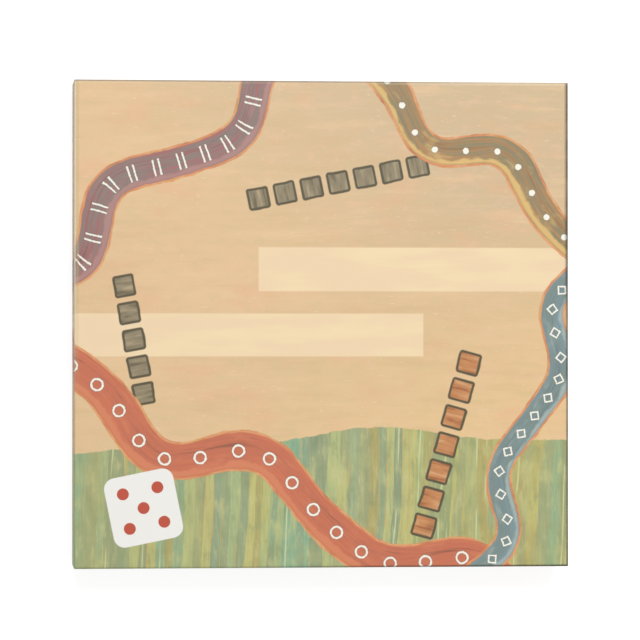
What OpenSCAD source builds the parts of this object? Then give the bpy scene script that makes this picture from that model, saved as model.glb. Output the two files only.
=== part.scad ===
// Boxed snakes and ladders set, closed: a paper-wrapped greyboard lid over a tray, and in the tray
// a folded card insert, the playing board, a rules leaflet, four wooden counters and a die.
// The origin is the middle of the tray's underside. +Z goes up out of the cover, +Y towards the
// cover's upper edge and +X to the right of someone who reads the cover.

/* [Box] */
// Width of the lid over its printed paper
lid_w = 255; // [235:1:275]
// Depth of the lid over its printed paper
lid_d = 250; // [230:1:270]
// Height of the lid's lower edge over the table
skirt_lift = 3.2; // [1:0.1:10]
// Radius of the wrapped outer edges of lid and tray
edge_r = 1; // [0.6:0.05:1.6]
// Thickness of the greyboard of lid and tray
board_t = 2; // [1.6:0.1:2.6]
// Thickness of the papers pasted on lid, tray and playing board
paper_t = 0.2; // [0.12:0.02:0.3]
// Width of the wrapping paper turned in over the rims
turn_in_w = 14; // [8:0.5:18]
// Width of the wrapping paper turned under the tray
turn_under_w = 16; // [10:0.5:30]
// Margin from the tray's outside to the sheet pasted under it
base_margin = 5; // [3:0.5:8]

/* [Corner stays] */
// Length of a corner stay along each of its two walls
stay_w = 11; // [6:0.5:18]
// Thickness of the stay, pressed flush into the greyboard
stay_t = 0.12; // [0.08:0.01:0.2]
// Distance from the ends of a stay to the ends of its corner
stay_inset = 1.5; // [0.5:0.1:3]

/* [Insert] */
// Height of the folded card insert
insert_h = 26.5; // [25:0.5:34]
// Thickness of the insert's card
card_t = 0.7; // [0.4:0.05:1]
// Width of the trough between the two platforms
trough_w = 84; // [76:1:110]

/* [Playing board] */
// Thickness of the playing board's greyboard core
core_t = 2; // [1.4:0.1:3]
// Width of the wrapping paper that shows round the play sheet
play_border = 5; // [3:0.5:12]

/* [Rules leaflet] */
// Width of the folded leaflet
leaflet_w = 148; // [105:1:190]
// Depth of the folded leaflet
leaflet_d = 210; // [148:1:215]
// Thickness of one leaf
leaf_t = 0.15; // [0.1:0.01:0.25]
// Space between the two leaves, which spring apart a little
leaf_gap = 0.35; // [0.2:0.05:0.6]

/* [Counters] */
// Radius of a counter's foot
counter_r = 7.5; // [6:0.25:8.5]
// Height of a counter
counter_h = 23; // [18:0.5:23.5]
// Radius of a counter's ball head
head_r = 4.4; // [3.5:0.1:5]
// Radius of the narrowest part, under the head
neck_r = 2.6; // [2:0.1:3.2]
// Height of the straight foot
foot_h = 2.4; // [1.5:0.1:3.5]

/* [Die] */
// Side of the die
die_side = 14; // [12:0.5:16]
// Radius of a pip at the face
pip_r = 1.25; // [0.8:0.05:1.4]
// Depth of a pip's dimple
pip_depth = 0.5; // [0.3:0.05:0.7]
// Depth of the paint in the dimple
pip_paint_t = 0.3; // [0.1:0.05:0.3]

/* [Fit] */
// Clearance between the lid's inside and the tray, on each side
lid_gap = 0.8; // [0.5:0.1:1.6]
// Clearance between one piece and the piece it lies on
seat_gap = 0.3; // [0.2:0.05:0.5]
// Clearance between the insert and the tray's inside
insert_gap = 0.4; // [0.3:0.1:1]
// Clearance between the playing board and the tray's inside
play_gap = 1; // [0.5:0.1:2]
// Height of the tray's rim over the leaflet
rim_over = 1.7; // [1:0.1:6]

/* [Hidden] */
$fn = 48;

// How far a cut runs past the face it opens
overrun = 1;
// Steps of a counter's flared body, and the power of its curve
flare_steps = 10;
flare_power_share = 1.9;
// Radius of the flare where it leaves the foot, as a share of the foot's radius
flare_foot_share = 0.8;
// How far the head sinks into the neck, as a share of its radius
head_sink_share = 0.12;
// Radius of the ball that eases the die's corners, as a share of its side
die_ease_share = 0.7;
// Distance of the outer pips from a face's middle, as a share of the side
pip_place_share = 0.27;
// Places in the trough, as shares of its width and of the insert's depth
counter_place_shares = [[-0.27, -0.2], [-0.02, -0.15], [0.26, -0.21], [0.02, -0.26]];
die_place_shares = [-0.28, -0.31];
// Turn of the die on the trough's floor, in degrees
die_turn = 24;

// A wall is greyboard with one paper outside and one inside
wall_t = board_t + 2 * paper_t;
lid_in_w = lid_w - 2 * wall_t;
lid_in_d = lid_d - 2 * wall_t;
tray_w = lid_in_w - 2 * lid_gap;
tray_d = lid_in_d - 2 * lid_gap;
tray_in_w = tray_w - 2 * wall_t;
tray_in_d = tray_d - 2 * wall_t;
insert_w = tray_in_w - 2 * insert_gap;
insert_d = tray_in_d - 2 * insert_gap;
play_w = tray_in_w - 2 * play_gap;
play_d = tray_in_d - 2 * play_gap;
play_t = core_t + 2 * paper_t;
leaflet_t = 2 * leaf_t + leaf_gap;

// Heights from the table up
tray_z = paper_t;
tray_floor_z = tray_z + wall_t;
insert_z = tray_floor_z + seat_gap;
trough_floor_z = insert_z + card_t + seat_gap;
play_z = insert_z + insert_h + seat_gap;
leaflet_z = play_z + play_t + seat_gap;
tray_top = leaflet_z + leaflet_t + rim_over;
lid_ceiling_z = tray_top + seat_gap;
lid_top = lid_ceiling_z + wall_t;
tray_h = tray_top - tray_z;
lid_h = lid_top - skirt_lift;

paper_edge_r = edge_r - paper_t;
dimple_r = (pip_r * pip_r + pip_depth * pip_depth) / (2 * pip_depth);
neck_z = counter_h - (2 - head_sink_share) * head_r;

// A waste bar: what rounding by r takes off an outer edge of length l. The edge lies along Z at
// the origin, and the solid is on the side of -X and -Y.
module edge_waste(l, r) {
    difference() {
        translate([-r, -r, -l / 2]) cube([r + overrun, r + overrun, l]);
        translate([-r, -r, 0]) cylinder(r = r, h = l + overrun, center = true);
    }
}

// A block that stands on z = 0 with its upright and its upper edges rounded
module eased_block(w, d, h, r) {
    difference() {
        translate([-w / 2, -d / 2, 0]) cube([w, d, h]);
        for (sx = [-1, 1], sy = [-1, 1])
            scale([sx, sy, 1])
                translate([w / 2, d / 2, 0]) edge_waste(2 * h + overrun, r);
        for (s = [0, 180])
            rotate([0, 0, s])
                translate([w / 2, 0, h])
                    rotate([90, 0, 0]) edge_waste(d + overrun, r);
        for (s = [90, 270])
            rotate([0, 0, s])
                translate([d / 2, 0, h])
                    rotate([90, 0, 0]) edge_waste(w + overrun, r);
    }
}

// The greyboard of a lid or tray, standing open side down, before its stays are let in
module board_shell(w, d, h, r) {
    difference() {
        eased_block(w, d, h, r);
        translate([-w / 2 + board_t, -d / 2 + board_t, -overrun])
            cube([w - 2 * board_t, d - 2 * board_t, h - board_t + overrun]);
    }
}

// The thin strips of paper round the four upright corners of such a shell
module stay_strips(w, d, h, r) {
    strip_h = h - r - 2 * stay_inset;
    for (sx = [-1, 1], sy = [-1, 1])
        intersection() {
            difference() {
                eased_block(w, d, h, r);
                eased_block(w - 2 * stay_t, d - 2 * stay_t, h - stay_t, r - stay_t);
            }
            translate([sx * w / 2, sy * d / 2, stay_inset + strip_h / 2])
                cube([2 * stay_w, 2 * stay_w, strip_h], center = true);
        }
}

// The wrapping paper: over the closed side and the walls, round the rim and turned in
module wrap_sheet(w, d, h, r) {
    in_w = w - 2 * wall_t;
    in_d = d - 2 * wall_t;
    board_in_w = w - 2 * (paper_t + board_t);
    board_in_d = d - 2 * (paper_t + board_t);
    difference() {
        eased_block(w, d, h, r);
        difference() {
            translate([0, 0, paper_t])
                eased_block(w - 2 * paper_t, d - 2 * paper_t, h - 2 * paper_t, r - paper_t);
            // the strip that is turned in stays
            translate([-board_in_w / 2, -board_in_d / 2, 0])
                cube([board_in_w, board_in_d, turn_in_w]);
        }
        translate([-in_w / 2, -in_d / 2, -overrun]) cube([in_w, in_d, turn_in_w + 2 * overrun]);
    }
}

// The lining paper inside the closed side and the walls, as far as the turned-in strip
module liner_sheet(w, d, h) {
    out_w = w - 2 * (paper_t + board_t);
    out_d = d - 2 * (paper_t + board_t);
    top_z = h - paper_t - board_t;
    in_w = out_w - 2 * paper_t;
    in_d = out_d - 2 * paper_t;
    difference() {
        translate([-out_w / 2, -out_d / 2, turn_in_w]) cube([out_w, out_d, top_z - turn_in_w]);
        translate([-in_w / 2, -in_d / 2, turn_in_w - overrun])
            cube([in_w, in_d, top_z - turn_in_w - paper_t + overrun]);
    }
}

// Puts a lid-like shape in the lid's place
module in_lid() {
    translate([0, 0, skirt_lift]) children();
}

// Turns a lid-like shape over, into the tray's place
module in_tray() {
    translate([0, 0, tray_top]) rotate([180, 0, 0]) children();
}

module carton(w, d, h) {
    board_w = w - 2 * paper_t;
    board_d = d - 2 * paper_t;
    board_h = h - 2 * paper_t;
    translate([0, 0, paper_t])
        difference() {
            board_shell(board_w, board_d, board_h, paper_edge_r);
            stay_strips(board_w, board_d, board_h, paper_edge_r);
        }
}

module corner_stays(w, d, h) {
    translate([0, 0, paper_t])
        stay_strips(w - 2 * paper_t, d - 2 * paper_t, h - 2 * paper_t, paper_edge_r);
}

module tray_board() {
    color("darkgray") in_tray() carton(tray_w, tray_d, tray_h);
}

module tray_corner_stays() {
    color("burlywood") in_tray() corner_stays(tray_w, tray_d, tray_h);
}

module tray_wrap() {
    bare_w = tray_w - 2 * turn_under_w;
    bare_d = tray_d - 2 * turn_under_w;
    color("darkkhaki")
        difference() {
            in_tray() wrap_sheet(tray_w, tray_d, tray_h, edge_r);
            // the paper is turned under the floor and leaves its middle bare. The cut runs on into
            // the greyboard's place
            translate([-bare_w / 2, -bare_d / 2, tray_z - overrun])
                cube([bare_w, bare_d, overrun + paper_t + board_t / 2]);
        }
}

module tray_base_sheet() {
    sheet_w = tray_w - 2 * base_margin;
    sheet_d = tray_d - 2 * base_margin;
    color("wheat") translate([-sheet_w / 2, -sheet_d / 2, 0]) cube([sheet_w, sheet_d, paper_t]);
}

module tray_liner() {
    color("white") in_tray() liner_sheet(tray_w, tray_d, tray_h);
}

module insert_card() {
    out = insert_w / 2;
    inn = trough_w / 2;
    low = card_t;
    high = insert_h - card_t;
    outline = [
        [-out, 0], [-out, insert_h], [-inn, insert_h], [-inn, low],
        [inn, low], [inn, insert_h], [out, insert_h], [out, 0],
        [out - card_t, 0], [out - card_t, high], [inn + card_t, high], [inn + card_t, 0],
        [-inn - card_t, 0], [-inn - card_t, high], [card_t - out, high], [card_t - out, 0]
    ];
    color("whitesmoke")
        translate([0, insert_d / 2, insert_z])
            rotate([90, 0, 0])
                linear_extrude(insert_d) polygon(outline);
}

module board_core() {
    w = play_w - 2 * paper_t;
    d = play_d - 2 * paper_t;
    color("darkgray") translate([-w / 2, -d / 2, play_z + paper_t]) cube([w, d, core_t]);
}

// The printed sheet's place in the playing board's face, grown down and up by these amounts
module play_panel(down, up) {
    w = play_w - 2 * play_border;
    d = play_d - 2 * play_border;
    translate([-w / 2, -d / 2, play_z + play_t - paper_t - down]) cube([w, d, down + paper_t + up]);
}

module board_wrap() {
    w = play_w - 2 * paper_t;
    d = play_d - 2 * paper_t;
    color("olivedrab")
        difference() {
            translate([-play_w / 2, -play_d / 2, play_z]) cube([play_w, play_d, play_t]);
            translate([-w / 2, -d / 2, play_z + paper_t]) cube([w, d, core_t]);
            play_panel(core_t / 2, overrun);
        }
}

module play_sheet() {
    color("wheat") play_panel(0, 0);
}

module rules_leaflet() {
    outline = [
        [0, 0], [leaflet_w, 0], [leaflet_w, leaf_t], [leaf_t, leaf_t],
        [leaf_t, leaf_t + leaf_gap], [leaflet_w, leaf_t + leaf_gap],
        [leaflet_w, leaflet_t], [0, leaflet_t]
    ];
    color("ivory")
        translate([-leaflet_w / 2, leaflet_d / 2, leaflet_z])
            rotate([90, 0, 0])
                linear_extrude(leaflet_d) polygon(outline);
}

// A turned wooden pawn on z = 0: a foot with a round lip, a flared body and a ball head
module counter() {
    lip_r = foot_h / 2;
    flare_r = counter_r * flare_foot_share;
    flare = [
        for (i = [0:flare_steps])
            let (rise = i / flare_steps)
                [
                    neck_r + (flare_r - neck_r) * pow(1 - rise, flare_power_share),
                    foot_h + (neck_z - foot_h) * rise
                ]
    ];
    rotate_extrude() translate([counter_r - lip_r, lip_r]) circle(r = lip_r);
    cylinder(r = counter_r - lip_r, h = foot_h);
    rotate_extrude() polygon(concat([[0, foot_h]], flare, [[0, neck_z]]));
    translate([0, 0, counter_h - head_r]) sphere(r = head_r);
}

module placed_counter(i) {
    place = counter_place_shares[i];
    translate([place[0] * trough_w, place[1] * insert_d, trough_floor_z]) counter();
}

module counter_ochre() {
    color("goldenrod") placed_counter(0);
}

module counter_plum() {
    color("rosybrown") placed_counter(1);
}

module counter_red() {
    color("indianred") placed_counter(2);
}

module counter_blue() {
    color("cadetblue") placed_counter(3);
}

// Where n pips stand on a face, in steps from its middle
function pip_spots(n) = concat(
    n % 2 == 1 ? [[0, 0]] : [],
    n > 1 ? [[-1, -1], [1, 1]] : [],
    n > 3 ? [[-1, 1], [1, -1]] : [],
    n > 5 ? [[-1, 0], [1, 0]] : []
);

// A ball at every pip of the die, which cuts its dimple. The die's middle is at the origin.
module pip_balls() {
    turns = [[0, 0, 0], [90, 0, 0], [0, 90, 0], [0, -90, 0], [-90, 0, 0], [180, 0, 0]];
    step = die_side * pip_place_share;
    for (f = [0:5])
        rotate(turns[f])
            for (spot = pip_spots(f + 1))
                translate([spot[0] * step, spot[1] * step, die_side / 2 + dimple_r - pip_depth])
                    sphere(r = dimple_r);
}

module placed_die() {
    translate([die_place_shares[0] * trough_w, die_place_shares[1] * insert_d,
               trough_floor_z + die_side / 2])
        rotate([0, 0, die_turn]) children();
}

module die_body() {
    color("antiquewhite")
        placed_die()
            difference() {
                intersection() {
                    cube(die_side, center = true);
                    sphere(r = die_side * die_ease_share);
                }
                pip_balls();
            }
}

module die_pips() {
    painted = die_side - 2 * (pip_depth - pip_paint_t);
    color("dimgray")
        placed_die()
            intersection() {
                cube(painted, center = true);
                pip_balls();
            }
}

module lid_board() {
    color("darkgray") in_lid() carton(lid_w, lid_d, lid_h);
}

module lid_corner_stays() {
    color("burlywood") in_lid() corner_stays(lid_w, lid_d, lid_h);
}

module lid_wrap() {
    color("tan") in_lid() wrap_sheet(lid_w, lid_d, lid_h, edge_r);
}

module lid_liner() {
    color("white") in_lid() liner_sheet(lid_w, lid_d, lid_h);
}

tray_board();
tray_corner_stays();
tray_wrap();
tray_base_sheet();
tray_liner();
insert_card();
board_core();
board_wrap();
play_sheet();
rules_leaflet();
counter_ochre();
counter_plum();
counter_red();
counter_blue();
die_body();
die_pips();
lid_board();
lid_corner_stays();
lid_wrap();
lid_liner();
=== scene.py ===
"""A boxed snakes and ladders set: papers, boards, pawns and a die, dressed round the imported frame."""
import math
import bpy
from mathutils import Matrix, Vector


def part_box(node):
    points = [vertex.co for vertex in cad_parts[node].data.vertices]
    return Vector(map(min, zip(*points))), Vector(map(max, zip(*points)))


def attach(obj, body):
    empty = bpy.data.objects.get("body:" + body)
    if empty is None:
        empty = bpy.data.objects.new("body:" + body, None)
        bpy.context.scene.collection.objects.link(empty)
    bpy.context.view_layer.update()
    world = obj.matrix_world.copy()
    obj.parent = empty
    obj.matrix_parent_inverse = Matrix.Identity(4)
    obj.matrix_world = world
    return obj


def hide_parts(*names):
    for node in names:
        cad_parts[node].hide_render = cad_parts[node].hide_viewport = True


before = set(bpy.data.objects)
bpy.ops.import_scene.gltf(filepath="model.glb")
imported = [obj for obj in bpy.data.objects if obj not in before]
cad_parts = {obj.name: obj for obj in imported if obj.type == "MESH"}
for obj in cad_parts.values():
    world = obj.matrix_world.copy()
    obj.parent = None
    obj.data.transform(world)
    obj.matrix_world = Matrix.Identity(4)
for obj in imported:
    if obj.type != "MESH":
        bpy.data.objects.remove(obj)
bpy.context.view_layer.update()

MM = 0.001

# Places and sizes that the papers share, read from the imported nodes
LID_LOW, LID_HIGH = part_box("lid_wrap")
TRAY_LOW, TRAY_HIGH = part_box("tray_wrap")
LID_BOARD_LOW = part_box("lid_board")[0]
PAPER_T = LID_BOARD_LOW.z - LID_LOW.z
LINER_LOW, LINER_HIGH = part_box("lid_liner")
WALL_T = LID_HIGH.z - LINER_HIGH.z + PAPER_T
TURN_IN = LINER_LOW.z - LID_LOW.z
LEAFLET_LOW, LEAFLET_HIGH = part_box("rules_leaflet")

# Sizes that the nodes' boxes don't give: the paper's folds, the strip turned under the tray, the
# insert's card and trough, the leaflet's paper and the raised ink
EDGE_R, CORNER_R = 1.0 * MM, 0.5 * MM
TURN_UNDER = 16 * MM
CARD_T, TROUGH_W = 0.7 * MM, 84 * MM
LEAF_T, INK_T = 0.15 * MM, 0.05 * MM

# Dressed papers and cards are this share as thick as their solids, so that they stay off the boards
WRAP_SHARE, CARD_SHARE = 0.9, 0.96

# The playing board's squares, in millimetres as its print is
SQUARE = 21
SQUARES = 10


def look_camera():
    """The photograph's view: straight down from a little to the left, from nearly two metres."""
    distance = 1.844
    yaw, pitch = math.radians(5.497), math.radians(0.446)
    focal_px, picture_px, sensor_mm = 3589.6, 640, 36
    target = Vector((-1.43 * MM, 2.19 * MM, LID_HIGH.z))
    forward = Vector((math.sin(yaw) * math.cos(pitch), math.sin(pitch),
                      -math.cos(yaw) * math.cos(pitch)))
    data = bpy.data.cameras.new("camera")
    data.sensor_width = sensor_mm
    data.lens = focal_px / picture_px * sensor_mm
    data.clip_start, data.clip_end = 0.05, 30
    camera = bpy.data.objects.new("camera", data)
    bpy.context.scene.collection.objects.link(camera)
    camera.location = target - forward * distance
    right = forward.cross(Vector((0, 1, 0))).normalized()
    up = right.cross(forward)
    camera.rotation_euler = Matrix((right, up, -forward)).transposed().to_euler()
    bpy.context.scene.camera = camera


def ink(hex_colour):
    """A colour as it shows on screen, such as "E8C89C", as the linear colour that nodes take."""
    values = [int(hex_colour[i:i + 2], 16) / 255 for i in (0, 2, 4)]
    linear = [v / 12.92 if v <= 0.04045 else ((v + 0.055) / 1.055) ** 2.4 for v in values]
    return (*linear, 1.0)


class Value:
    """A number that changes over the surface. Sums of values become math nodes."""

    def __init__(self, paint, socket):
        self.paint, self.socket = paint, socket

    def __add__(self, other):
        return self.paint.math("ADD", self, other)

    def __sub__(self, other):
        return self.paint.math("SUBTRACT", self, other)

    def __rsub__(self, other):
        return self.paint.math("SUBTRACT", other, self)

    def __mul__(self, other):
        return self.paint.math("MULTIPLY", self, other)

    def __truediv__(self, other):
        return self.paint.math("DIVIDE", self, other)

    def __abs__(self):
        return self.paint.math("ABSOLUTE", self)

    __radd__, __rmul__ = __add__, __mul__


class Paint:
    """The nodes of one finish, laid in order. Lengths in it are millimetres."""

    def __init__(self, name, uv_map=None):
        self.material = bpy.data.materials.new(name)
        self.material.use_nodes = True
        self.tree = self.material.node_tree
        self.tree.nodes.clear()
        self.output = self.add("ShaderNodeOutputMaterial")
        self.shader = self.add("ShaderNodeBsdfPrincipled")
        self.link(self.shader.outputs["BSDF"], self.output.inputs["Surface"])
        if uv_map:
            source = self.add("ShaderNodeUVMap")
            source.uv_map = uv_map
            place = source.outputs["UV"]
        else:
            place = self.add("ShaderNodeTexCoord").outputs["Object"]
        scaled = self.add("ShaderNodeVectorMath", operation="SCALE")
        self.link(place, scaled.inputs["Vector"])
        scaled.inputs["Scale"].default_value = 1 / MM
        self.place = scaled.outputs["Vector"]
        parts = self.add("ShaderNodeSeparateXYZ")
        self.link(self.place, parts.inputs["Vector"])
        self.x, self.y, self.z = (Value(self, parts.outputs[axis]) for axis in "XYZ")
        self.colour = "FFFFFF"

    def add(self, kind, **settings):
        node = self.tree.nodes.new(kind)
        for name, value in settings.items():
            setattr(node, name, value)
        return node

    def link(self, source, socket):
        """Links a socket to a value, or sets it to a number or to a colour such as "E8C89C"."""
        if isinstance(source, Value):
            source = source.socket
        if isinstance(source, bpy.types.NodeSocket):
            self.tree.links.new(source, socket)
        else:
            socket.default_value = ink(source) if isinstance(source, str) else source

    def math(self, operation, *values, clamp=False):
        node = self.add("ShaderNodeMath", operation=operation, use_clamp=clamp)
        for socket, value in zip(node.inputs, values):
            self.link(value, socket)
        return Value(self, node.outputs["Value"])

    def length(self, x, y):
        """How far a point lies from the middle that x and y are taken from."""
        return self.math("SQRT", x * x + y * y)

    def vector(self, x, y, z=0.0):
        node = self.add("ShaderNodeCombineXYZ")
        for socket, value in zip(node.inputs, (x, y, z)):
            self.link(value, socket)
        return node.outputs["Vector"]

    def stretched(self, size, turn=0.0):
        """The place in units of these sizes, turned first by an angle."""
        node = self.add("ShaderNodeMapping", vector_type="TEXTURE")
        self.link(self.place, node.inputs["Vector"])
        node.inputs["Rotation"].default_value = (0, 0, turn)
        node.inputs["Scale"].default_value = size
        return node.outputs["Vector"]

    def noise(self, place, scale=1.0, detail=2.0, roughness=0.5, seed=None):
        node = self.add("ShaderNodeTexNoise")
        if seed is not None:
            node.noise_dimensions = "4D"
            node.inputs["W"].default_value = seed
        self.link(place, node.inputs["Vector"])
        node.inputs["Scale"].default_value = scale
        node.inputs["Detail"].default_value = detail
        node.inputs["Roughness"].default_value = roughness
        return Value(self, node.outputs["Fac"])

    def ramp(self, value, *stops, kind="EASE"):
        """Colours over a value, as (place, colour) stops."""
        node = self.add("ShaderNodeValToRGB")
        node.color_ramp.interpolation = kind
        elements = node.color_ramp.elements
        while len(elements) < len(stops):
            elements.new(0.5)
        for element, (place, colour) in zip(elements, stops):
            element.position, element.color = place, ink(colour)
        self.link(value, node.inputs["Fac"])
        return node.outputs["Color"]

    def spread(self, value, low, high, out_low=0.0, out_high=1.0):
        """Takes low..high to out_low..out_high, and stops at both ends."""
        node = self.add("ShaderNodeMapRange")
        for socket, number in zip(node.inputs, (value, low, high, out_low, out_high)):
            self.link(number, socket)
        return Value(self, node.outputs["Result"])

    def inside(self, distance, soft=0.25):
        """1 where the distance is below zero, with a soft edge."""
        return self.math("MULTIPLY_ADD", distance, -1 / soft, 0.5, clamp=True)

    def mix(self, share, under, over):
        node = self.add("ShaderNodeMix", data_type="RGBA")
        self.link(share, node.inputs[0])
        self.link(under, node.inputs[6])
        self.link(over, node.inputs[7])
        return node.outputs[2]

    def coat(self, colour, share=1.0):
        """Lays a colour over what is there."""
        self.colour = self.mix(share, self.colour, colour)

    def tint(self, colour, marks, low, high, share):
        """Lays a colour where the marks go from low to high, there up to this share."""
        self.coat(colour, self.spread(marks, low, high, 0, share))

    def bump(self, height, depth_mm, normal=None):
        node = self.add("ShaderNodeBump")
        node.inputs["Strength"].default_value = 1.0
        node.inputs["Distance"].default_value = depth_mm * MM
        self.link(height, node.inputs["Height"])
        if normal:
            self.link(normal, node.inputs["Normal"])
        return node.outputs["Normal"]

    def finish(self, roughness=0.5, shine=0.5, normal=None):
        self.link(self.colour, self.shader.inputs["Base Color"])
        self.link(roughness, self.shader.inputs["Roughness"])
        self.shader.inputs["Specular IOR Level"].default_value = shine
        if normal:
            self.link(normal, self.shader.inputs["Normal"])
        return self.material


# The prints. The cover's is laid out on the flat sheet, with its middle at the cover's middle.

def axes(paint, middle, turn):
    """The place along and across a line through a point."""
    cos, sin = math.cos(turn), math.sin(turn)
    along = (paint.x - middle[0]) * cos + (paint.y - middle[1]) * sin
    across = (paint.y - middle[1]) * cos - (paint.x - middle[0]) * sin
    return along, across


def rounded_square(paint, x, y, half, corner):
    """The distance to the edge of a square with round corners, less than zero inside it."""
    over_x = paint.math("MAXIMUM", abs(x) - (half - corner), 0.0)
    over_y = paint.math("MAXIMUM", abs(y) - (half - corner), 0.0)
    return paint.length(over_x, over_y) - corner


def brushed_field(paint):
    """A tan ground with faint strokes, dabs and pale flecks that run across the sheet. It is duller
    towards the upper right and warmer towards the lower right."""
    broad = paint.noise(paint.stretched((150, 60, 1)), detail=2, seed=3.1)
    paint.colour = paint.ramp(broad, (0.34, "E1C496"), (0.5, "E5C497"), (0.66, "EAC699"))
    paint.tint("D6BC97", paint.x * 0.9 + paint.y, 20, 150, 0.9)
    paint.tint("EEC994", paint.x * 0.7 - paint.y, 0, 110, 0.8)
    strokes = paint.noise(paint.stretched((40, 5.5, 1)), detail=4, roughness=0.55, seed=7.7)
    paint.tint("D6B584", strokes, 0.52, 0.72, 0.42)
    paint.tint("EFCDA0", strokes, 0.46, 0.3, 0.55)
    blush = paint.noise(paint.stretched((26, 13, 1)), detail=3, seed=12.4)
    paint.tint("EABA90", blush, 0.55, 0.7, 0.5)
    dabs = paint.noise(paint.stretched((10, 5, 1)), detail=4, roughness=0.6, seed=17.2)
    paint.tint("DAC192", dabs, 0.52, 0.68, 0.4)
    paint.tint("EDC6A0", dabs, 0.47, 0.32, 0.4)
    flecks = paint.noise(paint.stretched((3.5, 0.7, 1)), detail=1, seed=23.5)
    paint.tint("F6DEBA", flecks, 0.68, 0.76, 0.5)


def pale_bands(paint):
    """Two bare cream bands, one in from each side. They run on past the sheet's edge."""
    past = 400
    for low, high, left, right, seed in ((17, 39.5, -33, past, 1.7), (-16.5, 5.5, -past, 52, 5.2)):
        middle_x, half_x = (left + right) / 2, (right - left) / 2
        middle_y, half_y = (low + high) / 2, (high - low) / 2
        edge = paint.math("MAXIMUM", abs(paint.x - middle_x) - half_x, abs(paint.y - middle_y) - half_y)
        wash = paint.noise(paint.stretched((45, 9, 1)), detail=3, seed=seed)
        cream = paint.ramp(wash, (0.35, "F8E0B4"), (0.6, "F4D9B2"))
        paint.coat(cream, paint.inside(edge, 0.7))


def stripes(paint, per_mm, lean, seed, *tones):
    """Upright brush strokes side by side. Gives their colour, a number for each and the place in it."""
    sway = paint.noise(paint.vector(paint.x * 0.035, paint.y * 0.008), detail=1, seed=seed)
    rough = paint.noise(paint.vector(paint.x * 1.1, paint.y * 0.12), detail=3, seed=seed + 1)
    run = paint.x * per_mm + paint.y * lean + sway * 3.4 + rough * 0.22
    stroke = paint.math("FLOOR", run)
    pick = paint.add("ShaderNodeTexWhiteNoise", noise_dimensions="2D")
    paint.link(paint.vector(stroke + 0.5, seed), pick.inputs["Vector"])
    number = Value(paint, pick.outputs["Value"])
    stops = [(i / len(tones), tone) for i, tone in enumerate(tones)]
    return paint.ramp(number, *stops, kind="CONSTANT"), number, run - stroke


def meadow(paint):
    """Green strokes that stand upright under a low, uneven hill line."""
    wave = paint.math("SINE", paint.x * 0.021 + 0.8) * 5 + paint.math("SINE", paint.x * 0.057) * 2
    rough = paint.noise(paint.stretched((5, 40, 1)), detail=2, seed=2.2) * 2.5
    edge = paint.y + 61.0 - wave - rough
    ground = paint.colour
    paint.colour, _, _ = stripes(paint, 0.12, -0.006, 3.5, "B3B474", "97A67A", "8FB491", "BFBE78", "8C9E80",
                                 "A8B37A", "CBC880", "93A27C", "B2A76C", "86B193", "AEB680")
    over, number, place = stripes(paint, 0.23, -0.016, 8.5, "95A87E", "CCCB86", "86AE92", "B0A46A", "AFBD88",
                                  "9BA57F", "CEC77E", "8BA58A")
    reach = paint.noise(paint.vector(number * 40, paint.y * 0.018), detail=1, seed=6.0)
    shown = paint.spread(number * 0.35 + reach * 0.65, 0.42, 0.5)
    paint.coat(over, shown * 0.75)
    mottle = paint.noise(paint.stretched((6, 14, 1)), detail=4, roughness=0.6, seed=27.0)
    paint.tint("84956F", mottle, 0.52, 0.66, 0.6)
    paint.tint("CFD196", mottle, 0.48, 0.34, 0.55)
    fibre = paint.noise(paint.stretched((1.1, 20, 1), 0.02), detail=4, roughness=0.65, seed=9.3)
    paint.tint("80967A", fibre, 0.5, 0.72, 0.42)
    paint.tint("C9CF9A", fibre, 0.47, 0.3, 0.42)
    thin = paint.math("MULTIPLY", paint.inside(place - 0.09, 0.05), paint.math("GREATER_THAN", number, 0.72))
    amber = paint.noise(paint.vector(number * 30, paint.y * 0.03), detail=1, seed=15.8)
    paint.coat("D3A05F", thin * paint.spread(amber, 0.45, 0.52, 0, 0.8))
    gleam = paint.math("MULTIPLY", paint.inside(abs(place - 0.5) - 0.1, 0.06),
                       paint.math("LESS_THAN", number, 0.22))
    paint.coat("D3DBAA", gleam * paint.spread(amber, 0.44, 0.5, 0.8, 0))
    wash = paint.noise(paint.stretched((30, 14, 1)), detail=2, seed=19.0)
    paint.tint("C6C98A", wash, 0.52, 0.75, 0.35)
    paint.coat("C8B65F", paint.spread(abs(paint.x), 20, 90, 0.06, 0.22))
    paint.colour = paint.mix(paint.inside(edge, 0.5), ground, paint.colour)


# The three tones of painted wood, from dark to light
BROWN_WOOD = ("74694F", "94876C", "B3A27F")
ORANGE_WOOD = ("A9683F", "C98A58", "DDA877")


def tile_track(paint, middle, turn, tiles, pitch, body, seed):
    """A run of plain square tiles, as on a game of squares, painted with a dark outline."""
    half, corner, rim, sheen = pitch * 0.41, 1.6, 0.95, 3.6
    along, across = axes(paint, middle, turn)
    wobble = paint.noise(paint.place, scale=0.09, detail=2, seed=seed)
    across = across + wobble * 2.2 - 1.1
    cell = paint.math("WRAP", along, pitch / 2, -pitch / 2) if tiles % 2 else \
        paint.math("WRAP", along, pitch, 0.0) - pitch / 2
    tile = rounded_square(paint, cell, across, half, corner)
    edge = paint.math("MAXIMUM", tile, abs(along) - tiles * pitch / 2)
    grain = paint.noise(paint.vector(along * 0.35, across * 0.06), detail=3, seed=seed + 3)
    wood = paint.ramp(grain, (0.35, body[0]), (0.5, body[1]), (0.68, body[2]))
    paint.coat("5C543E", paint.inside(edge, 0.5))
    paint.coat(wood, paint.inside(edge + rim + wobble * 0.7, 0.5))
    paint.coat("E9D9B4", paint.inside(edge + sheen + wobble * 1.4, 0.6))


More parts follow.
